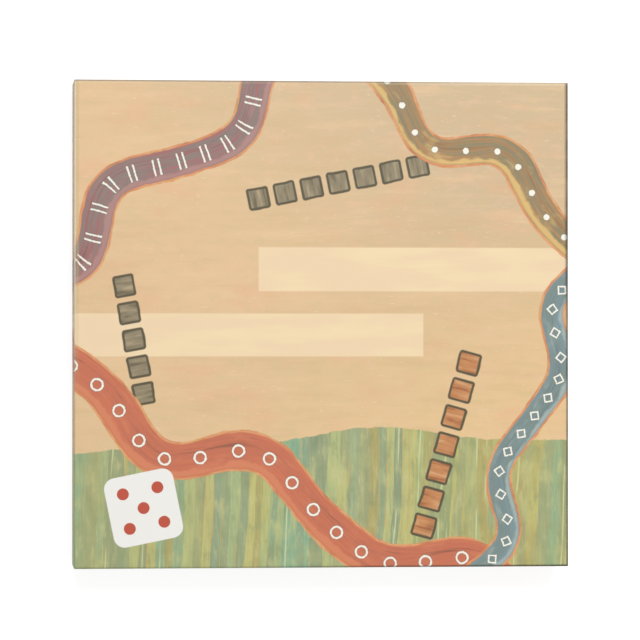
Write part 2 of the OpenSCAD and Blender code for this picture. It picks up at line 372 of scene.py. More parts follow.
def ribbon(paint, through, turn, half, swing, wave, lead, body, light, marks, seed):
    """A broad painted ribbon that winds across the sheet, with a light side and a row of marks."""
    along, across = axes(paint, through, turn)
    k, k2 = 2 * math.pi / wave, 2 * math.pi / (wave * 0.57)
    phase, phase2 = along * k + lead, along * k2 + lead * 2
    swing2 = swing * 0.22
    bend = paint.math("SINE", phase) * swing + paint.math("SINE", phase2) * swing2
    slope = paint.math("COSINE", phase) * (swing * k) + paint.math("COSINE", phase2) * (swing2 * k2)
    stretch = paint.math("SQRT", slope * slope + 1)
    side = (across - bend) / stretch
    run = along + side * slope / stretch
    swell = paint.noise(paint.vector(run * 0.02, 0.0), detail=1, seed=seed) * 5 + (half - 2.5)
    wobble = paint.noise(paint.place, scale=0.14, detail=2, seed=seed + 1) - 0.5
    edge = abs(side) - swell + wobble * 1.2
    flow = paint.noise(paint.vector(run * 0.03, side * 0.5), detail=4, roughness=0.65, seed=seed + 2)
    skin = paint.noise(paint.vector(run * 0.09, side * 0.2), detail=2, seed=seed + 3)
    paint.coat("8A7350", paint.inside(edge - 0.5 + skin * 1.6, 0.5) * 0.6)
    trim = paint.noise(paint.vector(run * 0.06, side * 0.3), detail=3, roughness=0.7, seed=seed + 5)
    tones = paint.ramp(trim, (0.34, "C27A50"), (0.46, "DD9160"), (0.56, "E6A873"),
                       (0.66, "CF9048"))
    paint.coat(tones, paint.inside(edge - 0.1 + wobble, 0.5))
    paint.coat(paint.ramp(flow, *body), paint.inside(edge + 0.75 + skin * 0.8, 0.6))
    blotch = paint.noise(paint.vector(run * 0.07, side * 0.16), detail=3, roughness=0.6, seed=seed + 6)
    paint.coat(light, paint.spread(blotch, 0.54, 0.66) * paint.inside(edge + 1.9, 1.4) * 0.45)
    lit = side + half * 0.42 + wobble * 5 + skin * 2
    paint.coat(light, paint.inside(paint.math("MAXIMUM", lit, edge + 1.5), 1.2) * 0.9)
    streak = paint.spread(flow, 0.5, 0.62) * paint.inside(edge + 2.2, 1.0)
    paint.coat("4E4238", streak * paint.inside(abs(side - half * 0.3) - 2.4, 2.5) * 0.4)
    pitch, kind = marks
    cell = (paint.math("WRAP", run, pitch, 0.0) - pitch / 2) * stretch
    if kind == "dots":
        mark = paint.length(cell, side) - 1.6
    elif kind == "rings":
        mark = abs(paint.length(cell, side) - 2.9) - 0.5
    elif kind == "bars":
        mark = paint.math("MAXIMUM", abs(abs(cell) - 1.5) - 0.45, abs(side) - half * 0.5)
    else:
        mark = abs(abs(cell) + abs(side) - 2.6) - 0.55
    chalk = paint.noise(paint.place, scale=0.9, detail=2, seed=seed + 4) - 0.5
    paint.coat("5F5A50", paint.inside(mark + chalk * 0.9 - 0.35, 0.6) * 0.35)
    paint.coat("FBF9EB", paint.inside(mark + chalk * 0.9, 0.4))


def die_face(paint, middle, turn, half):
    """A white die face with five pips."""
    x, y = axes(paint, middle, turn)
    paint.coat("F6F4EE", paint.inside(rounded_square(paint, x, y, half, half * 0.32), 0.3))
    step, pip_r = half * 0.5, half * 0.17
    corner_pip = paint.length(abs(x) - step, abs(y) - step)
    pips = paint.math("MINIMUM", corner_pip, paint.length(x, y)) - pip_r
    paint.coat("C4553F", paint.inside(pips, 0.3))


def paper_relief(paint, seam=None):
    """Fibres of the paper, the faint swell of the board under it, and the step at a seam."""
    fibres = paint.noise(paint.place, scale=1.6, detail=4, roughness=0.6)
    swell = paint.noise(paint.place, scale=0.035, detail=1)
    relief = paint.bump(fibres, 0.012, paint.bump(swell, 0.25))
    return paint.bump(1 - seam, 0.1, relief) if seam else relief


def wall_seams(paint, half_x, half_y):
    """The overlaps of the paper near the upright corners: 1 along a seam on the left and right walls."""
    seam_in, seam_half, fold_out = 1.4, 0.12, 0.6
    line = abs(abs(paint.y) - (half_y - seam_in)) - seam_half
    return paint.inside(line, 0.15) * paint.inside(half_x + fold_out - abs(paint.x), 0.2)


def rub_folds(paint, half_x, half_y):
    """The long folds, painted with light and shade. Painted shade darkens the folds at the right and the
    bottom, and the top fold at the upper left, grey there. A painted highlight, partly rubbed wear, runs
    pale along the top fold and the upper part of the left fold, with a band of painted shade just inside the
    left one."""
    right, left = paint.x - half_x, -half_x - paint.x
    top, bottom = paint.y - half_y, -half_y - paint.y
    patches = paint.noise(paint.place, scale=0.16, detail=3, seed=60.0)
    patchy = paint.spread(patches, 0.3, 0.65, 0.8, 1.0)
    # painted highlight, partly rubbed wear, along the top fold, stronger towards the right
    pale = paint.inside(abs(top + 1.0) - 0.6, 0.5) * paint.spread(paint.x, 0, 90, 0.12, 0.4)
    paint.coat("F0E3C8", pale * patchy)
    upper = paint.spread(paint.y, -50, 40)
    # a band of painted shade just inside the left fold, then a painted highlight, partly rubbed wear, on the
    # fold itself, both fading out towards the bottom
    paint.coat("C9B283", paint.inside(abs(left + 1.7) - 0.7, 0.6) * upper * 0.4)
    paint.coat("F5EFDA", paint.inside(abs(left) - 0.7, 0.4) * upper * 0.85)

    # painted shade along a fold, patchy, fading out down the wall beyond it
    def soil(out, low, high, colour, share):
        wall = paint.spread(out, 0.5, 1.6, 1.0, 0.0)
        paint.coat(colour, paint.spread(out, low, high) * wall * share * patchy)

    # painted shade: grey on the top fold towards the left, dark on the bottom fold towards the right and
    # along the right fold
    soil(top, -1.1, -0.45, "7F796C", paint.spread(paint.x, 0, 90, 0.68, 0.0))
    soil(bottom, -1.3, -0.5, "3F3A2A", paint.spread(paint.x, -40, 100, 0.22, 0.95))
    soil(right, paint.spread(paint.y, -30, 60, -1.4, -2.2), paint.spread(paint.y, -30, 60, -0.5, -0.6),
         "3F3A2A", 0.95)


def cover_print():
    paint = Paint("cover_print", "sheet")
    brushed_field(paint)
    meadow(paint)
    pale_bands(paint)
    tile_track(paint, (8, 73), 0.2, 7, 14.0, BROWN_WOOD, 21.0)
    tile_track(paint, (64, -62), 1.3, 7, 14.5, ORANGE_WOOD, 25.0)
    tile_track(paint, (-97, -8), 1.75, 5, 14.0, BROWN_WOOD, 29.0)
    ribbon(paint, (80, 86), -0.62, 8.2, 9, 92, 0.4,
           ((0.3, "8B7F62"), (0.46, "958866"), (0.55, "B58A5C"), (0.68, "A89468")),
           "E6C079", (13.5, "dots"), 31.0)
    ribbon(paint, (-88, 74), 0.66, 8.6, 10, 98, 2.2,
           ((0.3, "7E6C66"), (0.45, "8F7F78"), (0.58, "A8706E"), (0.7, "96716A")),
           "B58A84", (12.0, "bars"), 35.0)
    ribbon(paint, (-40, -76), -0.47, 10.2, 11, 118, 1.0,
           ((0.3, "AE6A56"), (0.45, "CB7456"), (0.58, "D37858"), (0.72, "A8654F")),
           "DC8862", (16.0, "rings"), 39.0)
    ribbon(paint, (107, -52), 1.235, 6.8, 7, 84, 3.0,
           ((0.3, "6E8288"), (0.45, "7F9089"), (0.58, "80979F"), (0.72, "8DA29A")),
           "A9B9B4", (11.0, "diamonds"), 43.0)
    die_face(paint, (-92, -94), 0.2, 18.0)
    half = (LID_HIGH - LID_LOW) / 2 / MM
    # painted shade and painted highlights, partly rubbed wear, along the cover's folds
    rub_folds(paint, half.x, half.y)
    seam = wall_seams(paint, half.x, half.y)
    paint.coat("8C7B5C", seam * 0.5)
    wear = paint.noise(paint.place, scale=0.5, detail=4, seed=50.0)
    return paint.finish(paint.spread(wear, 0.3, 0.7, 0.42, 0.55), 0.35, paper_relief(paint, seam))


def tray_print():
    """Sage strokes that stand upright on the tray's walls."""
    paint = Paint("tray_print")
    down = paint.vector(paint.x * 0.05, paint.y * 0.05, paint.z * 0.006)
    broad = paint.noise(down, detail=2, roughness=0.6, seed=4.4)
    paint.colour = paint.ramp(broad, (0.3, "7FA58C"), (0.42, "93B38C"), (0.5, "A3AC72"),
                              (0.58, "AFB578"), (0.7, "9CAE80"))
    down = paint.vector(paint.x * 0.5, paint.y * 0.5, paint.z * 0.03)
    fine = paint.noise(down, detail=3, roughness=0.6, seed=9.3)
    paint.tint("8A9A78", fine, 0.5, 0.7, 0.5)
    paint.tint("BFCB93", fine, 0.46, 0.3, 0.55)
    rub = paint.noise(paint.place, scale=0.2, detail=3, seed=3.0)
    rim = paint.inside(TRAY_HIGH.z / MM - 0.5 - paint.z, 0.5)
    paint.coat("E9E6D2", rim * paint.spread(rub, 0.4, 0.62, 0.05, 0.55))
    return paint.finish(0.5, 0.35, paper_relief(paint))


def base_print():
    paint = Paint("base_print")
    brushed_field(paint)
    low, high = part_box("tray_base_sheet")
    half = (high - low) / 2 / MM
    border_in, border_half = 9, 0.7
    border = paint.math("MAXIMUM", abs(paint.x) - half.x, abs(paint.y) - half.y) + border_in
    paint.coat("A9AE6F", paint.inside(abs(border) - border_half, 0.3) * 0.8)
    tile_track(paint, (0, 0), 0.6, 6, 15.0, BROWN_WOOD, 21.0)
    scuffs = paint.noise(paint.stretched((60, 8, 1), 0.5), detail=5, roughness=0.7, seed=8.8)
    paint.tint("F1E6D2", scuffs, 0.62, 0.72, 0.35)
    return paint.finish(0.55, 0.3, paper_relief(paint))


def plain_paper(name, colour, shade, roughness=0.75, depth=0.02):
    paint = Paint(name)
    cloudy = paint.noise(paint.place, scale=0.03, detail=3, seed=2.0)
    paint.colour = paint.ramp(cloudy, (0.35, colour), (0.7, shade))
    fibres = paint.noise(paint.stretched((1.2, 0.5, 0.8), 0.4), detail=4, roughness=0.65, seed=6.0)
    paint.tint(shade, fibres, 0.55, 0.72, 0.6)
    return paint.finish(roughness, 0.3, paint.bump(fibres, depth))


def greyboard():
    """Pressed waste paper: grey, with darker and lighter specks."""
    paint = Paint("greyboard")
    cloudy = paint.noise(paint.place, scale=0.25, detail=4, seed=1.0)
    paint.colour = paint.ramp(cloudy, (0.35, "A09888"), (0.65, "B3AB9B"))
    specks = paint.noise(paint.place, scale=2.4, detail=2, seed=5.0)
    paint.tint("6F695E", specks, 0.66, 0.72, 0.8)
    paint.tint("D2CBBB", specks, 0.33, 0.28, 0.8)
    return paint.finish(0.9, 0.2, paint.bump(cloudy, 0.05))


def square_middle(number):
    """The middle of a numbered square in millimetres. The rows run to and fro, from the bottom."""
    row, column = divmod(number - 1, SQUARES)
    if row % 2:
        column = SQUARES - 1 - column
    half = (SQUARES - 1) / 2
    return ((column - half) * SQUARE, (row - half) * SQUARE)


def between(first, last):
    """Middle, length and turn of the line from one square to another."""
    (x0, y0), (x1, y1) = square_middle(first), square_middle(last)
    return ((x0 + x1) / 2, (y0 + y1) / 2), math.hypot(x1 - x0, y1 - y0), math.atan2(y1 - y0, x1 - x0)


def printed_ladder(paint, low, high, wobble):
    (x, y), length, turn = between(low, high)
    gauge, rung_step, clear_of_numbers = 9.0, 7.5, 2.2
    rail_half, rung_half, past_end = 1.0, 0.8, 3
    along, across = axes(paint, (x + clear_of_numbers, y), turn)
    off_end = abs(along) - (length / 2 + past_end)
    rails = abs(abs(across) - gauge / 2) - rail_half
    rung = paint.math("WRAP", along, rung_step / 2, -rung_step / 2)
    rungs = paint.math("MAXIMUM", abs(rung) - rung_half, abs(across) - gauge / 2)
    edge = paint.math("MAXIMUM", paint.math("MINIMUM", rails, rungs), off_end) + wobble
    paint.coat("5A5443", paint.inside(edge - 0.5, 0.3))
    paint.coat("A9825A", paint.inside(edge, 0.3))
    paint.coat("C9A172", paint.inside(edge + 0.5, 0.4))


def printed_snake(paint, head, tail, waves, body, bands, wobble):
    middle, length, turn = between(tail, head)
    along, across = axes(paint, middle, turn)
    half, swing, face_share = 3.4, 8.0, 1.35
    band_half, band_step = 1.1, 9.0
    eye_r, eye_forward, eye_out = 0.75, 1.2, 1.9
    k = math.pi * waves / length
    phase = along * k + math.pi * waves / 2
    bend = paint.math("SINE", phase) * swing
    slope = paint.math("COSINE", phase) * (swing * k)
    stretch = paint.math("SQRT", slope * slope + 1)
    side = (across - bend) / stretch
    width = paint.spread(along, -length / 2, -length * 0.05, 0.7, half)
    trunk = paint.math("MAXIMUM", abs(side) - width, abs(along) - (length / 2 - 1.5))
    x = (along - length / 2) / face_share
    face = paint.length(x, across) - half * face_share
    edge = paint.math("MINIMUM", trunk, face) + wobble
    paint.coat("5A4A40", paint.inside(edge - 0.5, 0.3))
    paint.coat(body, paint.inside(edge, 0.3))
    band = paint.math("WRAP", along, band_step / 2, -band_step / 2)
    stripe = paint.math("MAXIMUM", abs(band) - band_half, trunk + 0.6)
    paint.coat(bands, paint.inside(stripe + wobble, 0.4))
    eye_x, eye_y = along - (length / 2 + eye_forward), abs(across) - eye_out
    eyes = paint.length(eye_x, eye_y) - eye_r
    paint.coat("2E2A26", paint.inside(eyes, 0.2))


def play_print():
    """A square of numbered fields with its own ladders and snakes."""
    paint = Paint("play_print")
    brushed_field(paint)
    ground = paint.colour
    column = paint.math("FLOOR", paint.x / SQUARE)
    row = paint.math("FLOOR", paint.y / SQUARE)
    pick = paint.add("ShaderNodeTexWhiteNoise", noise_dimensions="3D")
    paint.link(paint.vector(column + 0.5, row + 0.5, 4.5), pick.inputs["Vector"])
    tones = ("F0DAB2", "B7C49A", "E9BD94", "C4CFAE", "E6CB9E", "BBC6BD", "F0DAB2", "D9C07F")
    stops = [(i / len(tones), tone) for i, tone in enumerate(tones)]
    paint.colour = paint.ramp(Value(paint, pick.outputs["Value"]), *stops, kind="CONSTANT")
    wash = paint.noise(paint.stretched((26, 5, 1)), detail=4, roughness=0.6, seed=14.0)
    paint.tint("FBF3E0", wash, 0.5, 0.75, 0.5)
    paint.tint("B59A70", wash, 0.45, 0.25, 0.35)
    cell_x = abs(paint.math("WRAP", paint.x, SQUARE, 0.0) - SQUARE / 2)
    cell_y = abs(paint.math("WRAP", paint.y, SQUARE, 0.0) - SQUARE / 2)
    line_half, border_half = 0.45, 0.8
    line = SQUARE / 2 - line_half - paint.math("MAXIMUM", cell_x, cell_y)
    paint.coat("F8F0DC", paint.inside(line, 0.2))
    outside = SQUARE * SQUARES / 2 - paint.math("MAXIMUM", abs(paint.x), abs(paint.y))
    paint.coat(ground, paint.inside(outside, 0.2))
    paint.coat("7A6B4E", paint.inside(abs(outside) - border_half, 0.3))
    wobble = paint.noise(paint.place, scale=0.4, detail=2, seed=2.6) * 0.9 - 0.45
    for low, high in ((9, 30), (14, 47), (32, 53), (21, 60), (57, 84), (71, 91)):
        printed_ladder(paint, low, high, wobble)
    cream, coral, slate = "F4E6C4", "CE6F4F", "7F97A8"
    for head, tail, waves, body, bands in (
            (36, 4, 3, coral, cream), (58, 19, 3, slate, cream), (79, 44, 3, "8F7F78", "DDB7A0"),
            (95, 66, 3, "A9924E", cream), (92, 50, 4, "7FA074", cream)):
        printed_snake(paint, head, tail, waves, body, bands, wobble)
    return paint.finish(0.4, 0.4, paper_relief(paint))


def leaflet_paper():
    """Off-white paper with a sage heading bar, and rows of pale bars in two columns."""
    paint = Paint("leaflet_paper")
    cloudy = paint.noise(paint.place, scale=0.05, detail=2, seed=2.0)
    paint.colour = paint.ramp(cloudy, (0.3, "F3EFE4"), (0.7, "ECE7DA"))
    half = (LEAFLET_HIGH - LEAFLET_LOW) / 2 / MM
    margin, heading_down, heading_half = 12, 22, 7
    row_pitch, row_half, rows_down, rows_up = 5.2, 0.55, 42, 70
    field_up, field_half, square, line_half = 36, 24, 9.6, 0.25
    top = paint.inside(LEAFLET_LOW.z / MM + 0.3 - paint.z, 0.02)
    heading = paint.math("MAXIMUM", abs(paint.x) - (half.x - margin),
                         abs(paint.y - half.y + heading_down) - heading_half)
    paint.coat("A3AF84", paint.inside(heading, 0.3) * top)
    row = paint.math("WRAP", paint.y, row_pitch, 0.0) - row_pitch / 2
    breaks = paint.noise(paint.vector(paint.x * 0.16, paint.math("FLOOR", paint.y / row_pitch) * 7.3),
                         detail=1)
    column = abs(abs(paint.x) - half.x / 2 + 2) - (half.x / 2 - margin)
    block = paint.math("MAXIMUM", column, paint.y - (half.y - rows_down))
    block = paint.math("MAXIMUM", block, -1 * paint.y - (half.y - rows_up))
    rows = paint.math("MAXIMUM", abs(row) - row_half, block)
    rows = paint.math("MAXIMUM", rows, (breaks - 0.56) * 40)
    paint.coat("A8A499", paint.inside(rows, 0.25) * top * 0.8)
    grid = paint.math("MAXIMUM", abs(paint.x), abs(paint.y + half.y - field_up)) - field_half
    line_x = abs(paint.math("WRAP", paint.x + square / 2, square, 0.0) - square / 2)
    line_y = abs(paint.math("WRAP", paint.y + half.y - (field_up - square / 2), square, 0.0)
                 - square / 2)
    lines = square / 2 - line_half - paint.math("MAXIMUM", line_x, line_y)
    paint.coat("E4CFA6", paint.inside(grid, 0.3) * top)
    paint.coat("8E8470", paint.inside(paint.math("MAXIMUM", lines, grid), 0.25) * top)
    fibres = paint.noise(paint.place, scale=1.4, detail=3)
    return paint.finish(0.6, 0.35, paint.bump(fibres, 0.012))


def lacquer(name, colour, shade, wood, foot_z):
    """A coat of coloured lacquer over turned wood. Fine upright grain shows through it, and it is
    rubbed thin here and there on the foot's lip."""
    paint = Paint(name)
    grain = paint.noise(paint.stretched((0.9, 0.9, 14.0)), detail=4, roughness=0.6, seed=2.0)
    paint.colour = paint.ramp(grain, (0.35, colour), (0.7, shade))
    rub = paint.noise(paint.place, scale=0.5, detail=3, seed=11.0)
    lip = paint.inside(abs(paint.z - (foot_z + 1.2)) - 0.5, 0.8)
    paint.coat(wood, lip * paint.spread(rub, 0.55, 0.66, 0, 0.7))
    turned = paint.noise(paint.stretched((9.0, 9.0, 0.35)), detail=2, seed=4.0)
    rough = paint.spread(grain, 0.3, 0.7, 0.22, 0.34)
    return paint.finish(rough, 0.5, paint.bump(turned, 0.02, paint.bump(grain, 0.03)))


def die_wood():
    paint = Paint("die_wood")
    grain = paint.noise(paint.stretched((1.0, 12.0, 1.0), 0.42), detail=4, roughness=0.6, seed=2.0)
    paint.colour = paint.ramp(grain, (0.3, "E9D8B6"), (0.5, "E0CBA2"), (0.72, "CDB184"))
    pores = paint.noise(paint.stretched((0.35, 3.5, 0.35), 0.42), detail=2, seed=8.0)
    paint.tint("B8976A", pores, 0.64, 0.72, 0.6)
    return paint.finish(0.38, 0.45, paint.bump(grain, 0.03))


def pip_paint():
    paint = Paint("pip_paint")
    flow = paint.noise(paint.place, scale=1.5, detail=2, seed=2.0)
    paint.colour = paint.ramp(flow, (0.3, "3A2B25"), (0.7, "4A3830"))
    return paint.finish(0.3, 0.5, paint.bump(flow, 0.05))


def print_ink():
    paint = Paint("number_ink")
    patches = paint.noise(paint.place, scale=0.9, detail=3, seed=2.0)
    paint.colour = paint.ramp(patches, (0.3, "5A4636"), (0.7, "6E5743"))
    return paint.finish(0.45, 0.4)


# Modelling

def pick_faces(mesh, test):
    """In edit mode, selects the faces whose middle and normal pass the test."""
    bpy.ops.mesh.select_mode(type="FACE")
    bpy.ops.object.mode_set(mode="OBJECT")
    for face in mesh.polygons:
        face.select = test(face.center, face.normal)
    bpy.ops.object.mode_set(mode="EDIT")


def pick_edges(mesh, test):
    """In edit mode, selects the edges whose two ends pass the test."""
    bpy.ops.mesh.select_mode(type="EDGE")
    bpy.ops.mesh.select_all(action="DESELECT")
    bpy.ops.object.mode_set(mode="OBJECT")
    for edge in mesh.edges:
        a, b = (mesh.vertices[i].co for i in edge.vertices)
        edge.select = test(a, b)
    bpy.ops.object.mode_set(mode="EDIT")


def start(name, primitive, scale, middle, **shape):
    """A primitive at its size and place, in edit mode with nothing selected."""
    bpy.ops.object.select_all(action="DESELECT")
    primitive(location=middle, **shape)
    piece = bpy.context.object
    piece.name = piece.data.name = name
    piece.scale = scale
    bpy.ops.object.transform_apply(location=True, rotation=True, scale=True)
    bpy.ops.object.mode_set(mode="EDIT")
    bpy.ops.mesh.select_all(action="DESELECT")
    return piece


def start_block(name, low, high):
    return start(name, bpy.ops.mesh.primitive_cube_add, high - low, (low + high) / 2, size=1)


def pull(x=0.0, y=0.0, z=0.0):
    bpy.ops.mesh.extrude_region_move(TRANSFORM_OT_translate={"value": (x, y, z)})


def apply_all(piece):
    for modifier in list(piece.modifiers):
        bpy.ops.object.modifier_apply(modifier=modifier.name)


def smooth(piece, degrees=40):
    bpy.ops.object.mode_set(mode="OBJECT")
    bpy.ops.object.shade_smooth_by_angle(angle=math.radians(degrees))
    return piece


def thicken(piece, thickness, offset=-1):
    wall = piece.modifiers.new("thickness", "SOLIDIFY")
    wall.thickness, wall.offset, wall.use_even_offset = thickness, offset, True
    apply_all(piece)


def put_in(piece, body, material, slot, *nodes):
    """Gives a finished piece its material and the body it moves with, and hides the imported nodes that it
    stands for.
    """
    piece.data.materials.clear()
    piece.data.materials.append(material)
    if nodes:
        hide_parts(*nodes)
    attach(piece, body)


def dress(material, *nodes):
    for node in nodes:
        mesh = bpy.data.objects[node].data
        mesh.materials.clear()
        mesh.materials.append(material)


def lay_sheet(piece, low, high):
    """Writes the map named sheet: each point's place on the flat sheet before it was folded down
    over the walls, round the rim and in. The shares in it only tell one kind of face from another."""
    mesh = piece.data
    sheet = mesh.uv_layers.new(name="sheet")
    half = (high - low) / 2
    middle = (high + low) / 2
    arc = EDGE_R * math.pi / 2
    wall = high.z - low.z - EDGE_R
    for face in mesh.polygons:
        centre = face.center - middle
        gaps = [half.x - abs(centre.x), half.y - abs(centre.y)]
        axis = 0 if gaps[0] <= gaps[1] else 1
        on_top = face.center.z > high.z - EDGE_R * 0.1 and gaps[axis] > EDGE_R * 0.9
        inner = gaps[axis] > WALL_T * 0.8 and face.center.z < low.z + TURN_IN * 1.1
        rim = abs(face.normal.z) > 0.7 and face.center.z < low.z + PAPER_T * 1.5
        for loop in face.loop_indices:
            point = mesh.vertices[mesh.loops[loop].vertex_index].co - middle
            place = [point.x, point.y]
            if not on_top:
                out = abs(point[axis]) - (half[axis] - EDGE_R)
                over = point.z - (half.z - EDGE_R)
                if inner:
                    run = arc + wall + WALL_T + (point.z + half.z)
                elif rim:
                    run = arc + wall + half[axis] - abs(point[axis])
                elif over >= 0:
                    run = EDGE_R * math.atan2(max(out, 0), over + 1e-9)
                else:
                    run = arc - over
                place[axis] = math.copysign(half[axis] - EDGE_R + run, centre[axis])
            sheet.data[loop].uv = place


def folded_paper(name, low, high, bare=None):
    """The sheet that wraps a carton, open side down. A loop is drawn from the edge that is turned
    in, round the rim, up the walls and over. With bare, the closed side is a strip of that width."""
    half = (high - low) / 2
    tall = high.z - low.z
    lip, fold_steps = PAPER_T, 5
    section = [(WALL_T, lip), (WALL_T - lip, 0.0), (lip, 0.0), (0.0, lip), (0.0, tall - EDGE_R)]
    for i in range(1, fold_steps + 1):
        angle = math.pi / 2 * i / fold_steps
        section.append((EDGE_R * (1 - math.cos(angle)), tall - EDGE_R * (1 - math.sin(angle))))
    if bare:
        section.append((bare, tall))
    inset, height = WALL_T, TURN_IN
    middle = Vector((0, 0, low.z + height))
    piece = start(name, bpy.ops.mesh.primitive_plane_add,
                  (2 * (half.x - inset), 2 * (half.y - inset), 1), middle, size=1)
    bpy.ops.mesh.select_all(action="SELECT")
    bpy.ops.mesh.bevel(offset=CORNER_R, affect="VERTICES", segments=4, profile=0.5)
    bpy.ops.mesh.select_all(action="SELECT")
    bpy.ops.mesh.delete(type="ONLY_FACE")
    bpy.ops.mesh.select_mode(type="EDGE")
    bpy.ops.mesh.select_all(action="SELECT")
    for next_inset, next_height in section:
        pull(z=next_height - height)
        wider = (half.x - next_inset) / (half.x - inset)
        deeper = (half.y - next_inset) / (half.y - inset)
        bpy.ops.transform.resize(value=(wider, deeper, 1), center_override=(0, 0, low.z + next_height))
        inset, height = next_inset, next_height
    if not bare:
        bpy.ops.mesh.edge_face_add()
    bpy.ops.mesh.select_all(action="SELECT")
    bpy.ops.mesh.normals_make_consistent(inside=False)
    smooth(piece)
    lay_sheet(piece, low, high)
    thicken(piece, PAPER_T * WRAP_SHARE)
    return piece


def make_cover():
    piece = folded_paper("printed_cover", LID_LOW, LID_HIGH)
    put_in(piece, "lid", cover_print(), "cover_print", "lid_wrap")


def make_tray_paper():
    """The tray's paper is folded like the lid's and then turned over."""
    piece = folded_paper("tray_paper", TRAY_LOW, TRAY_HIGH, bare=TURN_UNDER)
    piece.rotation_euler.x = math.pi
    piece.location.z = TRAY_LOW.z + TRAY_HIGH.z
    bpy.ops.object.transform_apply(location=True, rotation=True, scale=True)
    put_in(piece, "tray", tray_print(), "tray_print", "tray_wrap")


def make_insert():
    """One card, folded up and over on both sides of the trough."""
    low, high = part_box("insert_card")
    floor_z, top_z = low.z + CARD_T / 2, high.z - CARD_T / 2
    wall_x, out_x = (TROUGH_W + CARD_T) / 2, high.x - CARD_T / 2
    near = CARD_T / 4
    piece = start("folded_insert", bpy.ops.mesh.primitive_plane_add,
                  (wall_x * 2, high.y - low.y, 1), (0, 0, floor_z), size=1)
    mesh = piece.data
    for side in (-1, 1):
        pick_edges(mesh, lambda a, b: min(a.x * side, b.x * side) > wall_x - near)
        pull(z=top_z - floor_z)
        pull(x=side * (out_x - wall_x))
        pull(z=low.z - top_z)

    def fold(p):
        on_floor = abs(p.z - floor_z) < near and abs(p.x) < wall_x + near
        return on_floor or p.z > top_z - near

    pick_edges(mesh, lambda a, b: fold(a) and fold(b) and abs(a.y - b.y) > TURN_IN)
    bpy.ops.mesh.bevel(offset=CARD_T, offset_type="OFFSET", segments=4, profile=0.5)
    bpy.ops.mesh.select_all(action="SELECT")
    bpy.ops.mesh.normals_make_consistent(inside=False)
    smooth(piece, degrees=50)
    thicken(piece, CARD_T * CARD_SHARE, 0)
    put_in(piece, "insert", plain_paper("insert_card", "F0ECE2", "EAE4D8", 0.6), "insert_card",
           "insert_card")


def make_board_paper():
    """The wrap of the playing board: all of its back, its edges and a border of its face."""
    low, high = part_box("board_wrap")
    corner_r = 3 * PAPER_T
    piece = start_block("board_paper", low, high)
    mesh = piece.data
    pick_faces(mesh, lambda c, n: n.z > 0.9)
    bpy.ops.mesh.inset(thickness=high.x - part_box("play_sheet")[1].x, depth=0)
    bpy.ops.mesh.delete(type="FACE")

    def outer(p):
        return abs(p.x) > high.x - PAPER_T and abs(p.y) > high.y - PAPER_T

    pick_edges(mesh, lambda a, b: outer(a) and outer(b))
    bpy.ops.mesh.bevel(offset=corner_r, offset_type="OFFSET", segments=4, profile=0.5)
    smooth(piece)
    thicken(piece, PAPER_T * WRAP_SHARE)
    put_in(piece, "game_board", plain_paper("board_paper", "8D9E7C", "7C8D6C", 0.6, 0.05),
           "board_paper", "board_wrap")


def make_numbers():
    """The numbers of the squares, each in its square's upper left corner."""
    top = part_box("play_sheet")[1].z
    text_size, corner_in = 4.9 * MM, 0.055 * SQUARE
    reach = (SQUARE / 2 - corner_in) * MM
    bpy.ops.object.select_all(action="DESELECT")
    numbers = []
    for number in range(1, SQUARES * SQUARES + 1):
        x, y = square_middle(number)
        place = (x * MM - reach, y * MM + reach, top + INK_T / 2)
        bpy.ops.object.text_add(location=place)
        text = bpy.context.object
        text.data.body = str(number)
        text.data.size = text_size
        text.data.align_x, text.data.align_y = "LEFT", "TOP"
        text.data.extrude = INK_T / 2
        text.data.resolution_u = 3
        numbers.append(text)
    for text in numbers:
        text.select_set(True)
    bpy.context.view_layer.objects.active = numbers[0]
    bpy.ops.object.convert(target="MESH")
    bpy.ops.object.join()
    piece = bpy.context.object
    piece.name = piece.data.name = "square_numbers"
    bpy.ops.object.transform_apply(location=True, rotation=True, scale=True)
    bpy.ops.object.mode_set(mode="EDIT")
    bpy.ops.mesh.select_all(action="SELECT")
    bpy.ops.mesh.remove_doubles(threshold=INK_T / 25)
    bpy.ops.mesh.normals_make_consistent(inside=False)
    bpy.ops.object.mode_set(mode="OBJECT")
    put_in(piece, "game_board", print_ink(), "play_print")


def make_leaflet():
    """One sheet, folded once. Its upper leaf springs up a little towards the open side."""
    low, high = LEAFLET_LOW, LEAFLET_HIGH
    fold_r = (high.z - low.z - LEAF_T) / 2
    fold_x = low.x + LEAF_T / 2 + fold_r
    steps, spring = 10, 0.9 * MM
    piece = start("folded_leaflet", bpy.ops.mesh.primitive_plane_add,
                  (high.x - fold_x, high.y - low.y, 1),
                  ((high.x + fold_x) / 2, 0, low.z + LEAF_T / 2), size=1)
    mesh = piece.data
    pick_edges(mesh, lambda a, b: a.x < fold_x + LEAF_T and b.x < fold_x + LEAF_T)
    bpy.ops.mesh.spin(steps=8, angle=math.pi, center=(fold_x, 0, (low.z + high.z) / 2), axis=(0, 1, 0))
    for i in range(steps):
        rise = spring * ((i + 1) ** 2 - i ** 2) / steps ** 2
        pull(x=(high.x - fold_x) / steps, z=rise)
    bpy.ops.mesh.select_all(action="SELECT")
    bpy.ops.mesh.normals_make_consistent(inside=False)
    smooth(piece, degrees=60)
    thicken(piece, LEAF_T * CARD_SHARE, 0)
    put_in(piece, "leaflet", leaflet_paper(), "leaflet_paper", "rules_leaflet")


